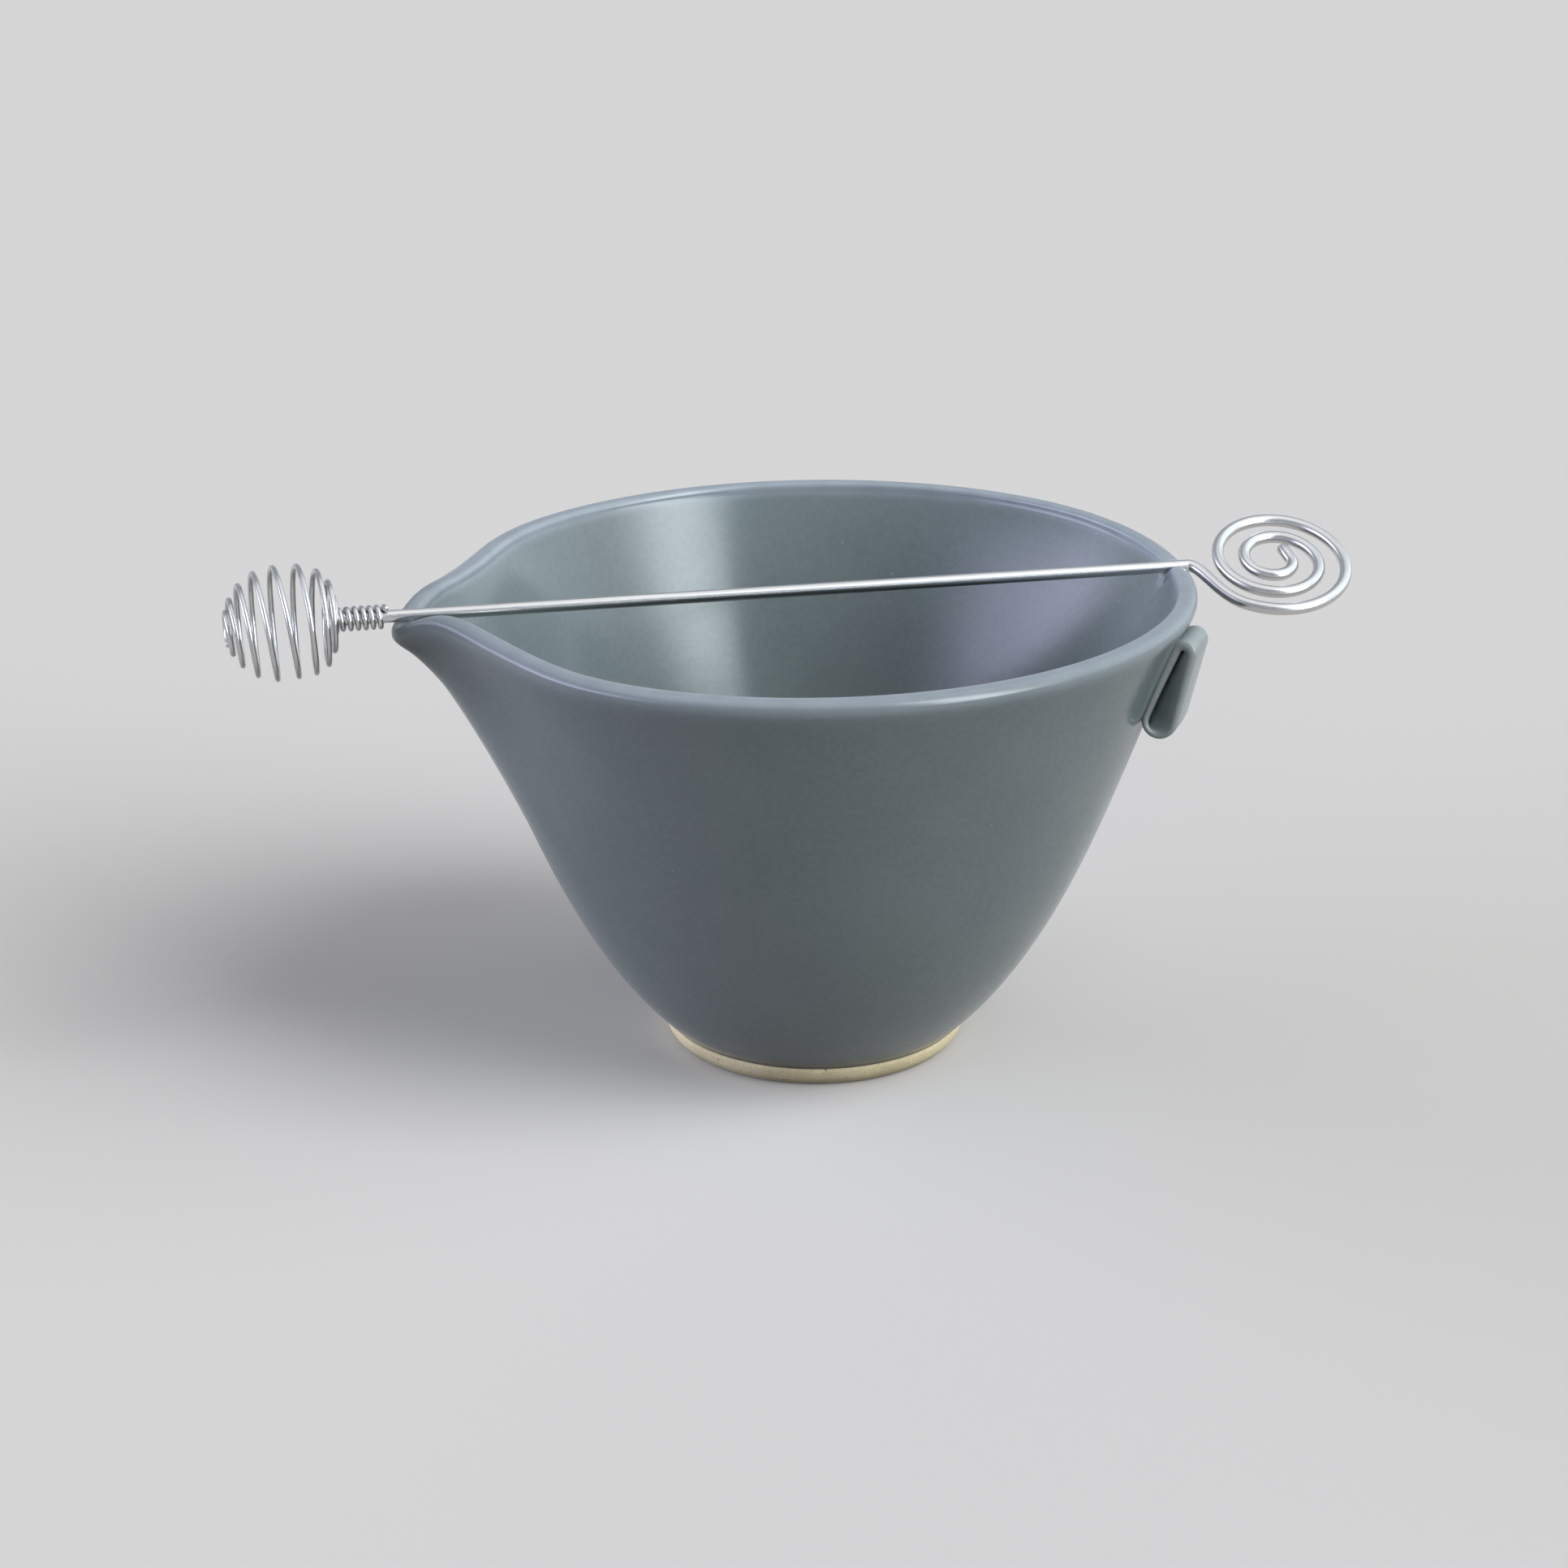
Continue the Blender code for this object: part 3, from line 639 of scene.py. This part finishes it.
def handlePath():
    along = Vector((1, 0, 0))
    aside = Vector((0, math.cos(handle["spiralTilt"]), math.sin(handle["spiralTilt"])))
    start, pitch = handle["spiralStart"], handle["spiralPitch"]
    turns = (handle["spiralRadius"] - handle["spiralEnd"]) / pitch
    nearest = handle["spiralRadius"] - pitch * (math.pi - start) / (2 * math.pi)
    centre = along * (rimHalf + handle["spiralGap"] + rodRadius + nearest)

    def spiral(share):
        turn = start + 2 * math.pi * turns * share
        radius = handle["spiralRadius"] + (handle["spiralEnd"] - handle["spiralRadius"]) * share
        return centre + (along * math.cos(turn) + aside * math.sin(turn)) * radius

    bend = along * (rimHalf + handle["bendStandoff"])
    meet = spiral(0)
    heading = (spiral(handle["headingStep"]) - meet).normalized()
    rodSteps = handle["rodSteps"]
    path = [along * (ballJoin + (bend.x - ballJoin) * i / rodSteps) for i in range(rodSteps)]
    for i in range(handle["bendSteps"]):
        path.append(bezier(bend, bend + along * handle["bendIn"], meet - heading * handle["bendOut"], meet,
                           i / handle["bendSteps"]))
    steps = round(turns * handle["turnSteps"])
    path += [spiral(i / steps) for i in range(steps + 1)]
    path.append(straightOn(path[-1], path[-2], handle["spiralTail"] / 2))
    path.append(straightOn(path[-1], path[-2], handle["spiralTail"] / 2))
    return [rodLine + point for point in path]


rodSteel = steelMaterial("rodSteel", handle["bright"], handle["dull"],
                         handle["smoothest"], handle["roughest"])
handlePiece = makeWire("rodAndSpiral", handlePath(), rodRadius, handle["sides"], rodSteel)
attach(handlePiece, "whisk")
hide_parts("whisk_handle_wire")
print("rod and spiral made")


# wound ball and collar

def ballShape(latitude):
    lean = -math.cos(latitude)
    if lean < 0:
        return beater["front"] * lean, beater["radius"] * math.sin(latitude)
    full = beater["neckFullness"]
    return beater["neck"] * lean, beater["radius"] * (1 - lean ** full) ** (1 / full)


def beaterPath():
    collarRadius = rodRadius + beater["grip"] + coilRadius
    full, neck = beater["neckFullness"], beater["neck"]
    closed = (1 - (collarRadius / beater["radius"]) ** full) ** (1 / full)
    first, last = math.asin(beater["endRadius"] / beater["radius"]), math.acos(-closed)
    path = []
    steps = round(beater["turns"] * beater["turnSteps"])
    for i in range(steps):
        turn = beater["start"] + 2 * math.pi * beater["turns"] * i / steps
        share = i / steps
        share += beater["crowding"] * share * (1 - share) * (share - 0.5)
        along, radius = ballShape(first + (last - first) * share)
        droop = math.tan(beater["droop"]) * smooth((neck - along) / neck)
        up = radius * math.cos(turn)
        path.append(Vector((ballJoin - neck * closed + along - droop * up, -radius * math.sin(turn),
                            up + droop * along)))
    steps = round(beater["collarTurns"] * beater["collarSteps"])
    for i in range(steps + 1):
        turns = beater["collarTurns"] * i / steps
        turn = beater["start"] + 2 * math.pi * (beater["turns"] + turns)
        along = ballJoin + beater["collarAir"] * min(turns, 1) + collarPitch * turns
        path.append(Vector((along, -collarRadius * math.sin(turn), collarRadius * math.cos(turn))))
    path.insert(0, straightOn(path[0], path[1], beater["wire"]))
    path.append(straightOn(path[-1], path[-2], beater["wire"]))
    return [rodLine + point for point in path]


springSteel = steelMaterial("springSteel", beater["bright"], beater["dull"],
                            beater["smoothest"], beater["roughest"])
beaterPiece = makeWire("woundBeater", beaterPath(), coilRadius, beater["sides"], springSteel)
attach(beaterPiece, "whisk")
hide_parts("whisk_beater_coil")
print("wound beater made")


# floor, light and camera

studio = {
    "floorSize": 12.0, "floorDrop": 0.0002, "floorTone": (0.607, 0.607, 0.606),
    "bounceTone": (0.110, 0.100, 0.086),                    # what the floor returns to matt surfaces
    "backTone": (0.665, 0.665, 0.666),
    "plainAmbient": (0.110, 0.110, 0.110), "mirrorAmbient": (0.450, 0.490, 0.550),
    "turn": math.radians(11.0), "tilt": math.radians(21.5), "distance": 0.9,
    "aside": -0.0062, "height": 0.0520, "sensor": 36.0, "focalPixels": 5625, "photoPixels": 1932,
}
# panels of light far off: azimuth from +X, elevation and soft edges in degrees
mattPanels = (                  # what matt surfaces gather
    {"name": "key", "start": -57, "end": -15, "softStart": 5, "softEnd": 6, "low": 22, "high": 66,
     "softHigh": 5, "tone": (1.00, 1.00, 1.00), "strength": 6.6},
    {"name": "lowKey", "start": -50, "end": -26, "softStart": 5, "softEnd": 5, "low": -4, "high": 22,
     "softHigh": 5, "tone": (0.98, 1.00, 1.00), "strength": 6.0},
    {"name": "keyTail", "start": -15, "end": 15, "softStart": 6, "softEnd": 10, "low": 22, "high": 45,
     "softHigh": 6, "tone": (1.00, 1.00, 1.00), "strength": 2.9},
    {"name": "leftFill", "start": 122, "end": 167, "softStart": 8, "softEnd": 8, "low": -4, "high": 25,
     "softHigh": 6, "tone": (0.96, 0.98, 1.04), "strength": 5.6},
    {"name": "leftLavender", "start": 165, "end": 203, "softStart": 8, "softEnd": 10, "low": -4, "high": 25,
     "softHigh": 8, "tone": (0.87, 0.88, 1.10), "strength": 5.4},
    {"name": "frontFill", "start": 210, "end": 285, "softStart": 12, "softEnd": 12, "low": 25, "high": 45,
     "softHigh": 8, "tone": (1.05, 1.00, 0.88), "strength": 0.9},
    {"name": "backGlow", "start": 60, "end": 120, "softStart": 12, "softEnd": 12, "low": -4, "high": 25,
     "softHigh": 8, "tone": (1.08, 1.00, 0.84), "strength": 1.4},
)
shinyPanels = (                 # what glaze and steel mirror
    {"name": "windowEdge", "start": -67, "end": -42, "softStart": 1.5, "softEnd": 8, "low": -4, "high": 54,
     "softHigh": 6, "tone": (0.91, 1.00, 1.03), "strength": 6.0},
    {"name": "window", "start": -60, "end": -32, "softStart": 6, "softEnd": 12, "low": -4, "high": 66,
     "softHigh": 6, "tone": (0.92, 1.00, 1.05), "strength": 3.2},
    {"name": "windowTail", "start": -20, "end": 50, "softStart": 12, "softEnd": 25, "low": -4, "high": 60,
     "softHigh": 15, "tone": (0.88, 1.00, 1.05), "strength": 1.1},
    {"name": "lavender", "start": 150, "end": 208, "softStart": 18, "softEnd": 20, "low": -4, "high": 25,
     "softHigh": 13, "tone": (0.72, 0.72, 1.04), "strength": 5.8},
    {"name": "ceiling", "start": -180, "end": 180, "softStart": 1, "softEnd": 1, "low": 56, "high": 120,
     "softHigh": 10, "tone": (1.02, 1.00, 0.97), "strength": 0.75},
)

half = studio["floorSize"] / 2
floorMesh = bpy.data.meshes.new("paleFloor")
corners = ((-half, -half), (half, -half), (half, half), (-half, half))
floorMesh.from_pydata([(x, y, -studio["floorDrop"]) for x, y in corners], [], [(0, 1, 2, 3)])
floorMaterial, tree, shader = newMaterial("paleFloor")
path = add(tree, "ShaderNodeLightPath")
shown = maths(tree, "MAXIMUM", path.outputs["Is Camera Ray"], path.outputs["Is Glossy Ray"])
join(tree, blend(tree, shown, studio["bounceTone"], studio["floorTone"]), shader, "Base Color")
shader.inputs["Roughness"].default_value = 1.0
shader.inputs["Specular IOR Level"].default_value = 0.0
floorMesh.materials.append(floorMaterial)
floor = bpy.data.objects.new("paleFloor", floorMesh)
bpy.context.scene.collection.objects.link(floor)

world = bpy.data.worlds.new("studio")
world.use_nodes = True
bpy.context.scene.world = world
tree = world.node_tree
tree.nodes.clear()
axes = add(tree, "ShaderNodeSeparateXYZ")
join(tree, add(tree, "ShaderNodeTexCoord").outputs["Generated"], axes, "Vector")
azimuth = maths(tree, "DEGREES", maths(tree, "ARCTAN2", axes.outputs["Y"], axes.outputs["X"]))
elevation = maths(tree, "DEGREES", maths(tree, "ARCSINE", axes.outputs["Z"]))
path = add(tree, "ShaderNodeLightPath")


def panelLight(panel):
    middle, wide = (panel["start"] + panel["end"]) / 2, (panel["end"] - panel["start"]) / 2
    around = add(tree, "ShaderNodeMath", operation="WRAP", label=panel["name"])
    join(tree, maths(tree, "SUBTRACT", azimuth, middle), around, 0)
    join(tree, 180.0, around, 1)
    join(tree, -180.0, around, 2)
    inside = panel["strength"]
    for value, dark, full in (
            (around.outputs[0], -wide - panel["softStart"], -wide + panel["softStart"]),
            (around.outputs[0], wide + panel["softEnd"], wide - panel["softEnd"]),
            (elevation, panel["low"] - panel["softHigh"], panel["low"] + panel["softHigh"]),
            (elevation, panel["high"] + panel["softHigh"], panel["high"] - panel["softHigh"])):
        inside = maths(tree, "MULTIPLY", fit(tree, value, dark, full), inside)
    return blend(tree, 1.0, panel["tone"], inside, "MULTIPLY")


def allLight(ambient, panels):
    light = ambient
    for panel in panels:
        light = blend(tree, 1.0, light, panelLight(panel), "ADD")
    return light


light = blend(tree, path.outputs["Is Glossy Ray"], allLight(studio["plainAmbient"], mattPanels),
              allLight(studio["mirrorAmbient"], shinyPanels))
seen = path.outputs["Is Camera Ray"]
background = add(tree, "ShaderNodeBackground")
join(tree, blend(tree, seen, light, studio["backTone"]), background, "Color")
output = add(tree, "ShaderNodeOutputWorld")
join(tree, background.outputs[0], output, "Surface")
print("floor and light made")

camera = bpy.data.cameras.new("photoCamera")
camera.sensor_width = studio["sensor"]
camera.lens = studio["focalPixels"] / studio["photoPixels"] * studio["sensor"]
camera.dof.use_dof = False
cameraPiece = bpy.data.objects.new("photoCamera", camera)
bpy.context.scene.collection.objects.link(cameraPiece)
turn, tilt = studio["turn"], studio["tilt"]
target = Vector((studio["aside"] * math.cos(turn), -studio["aside"] * math.sin(turn), studio["height"]))
back = Vector((-math.sin(turn) * math.cos(tilt), -math.cos(turn) * math.cos(tilt), math.sin(tilt)))
cameraPiece.location = target + back * studio["distance"]
cameraPiece.rotation_mode = "QUATERNION"
cameraPiece.rotation_quaternion = (-back).to_track_quat("-Z", "Y")
bpy.context.scene.camera = cameraPiece
bpy.context.scene.view_settings.view_transform = "Standard"
print("camera made")
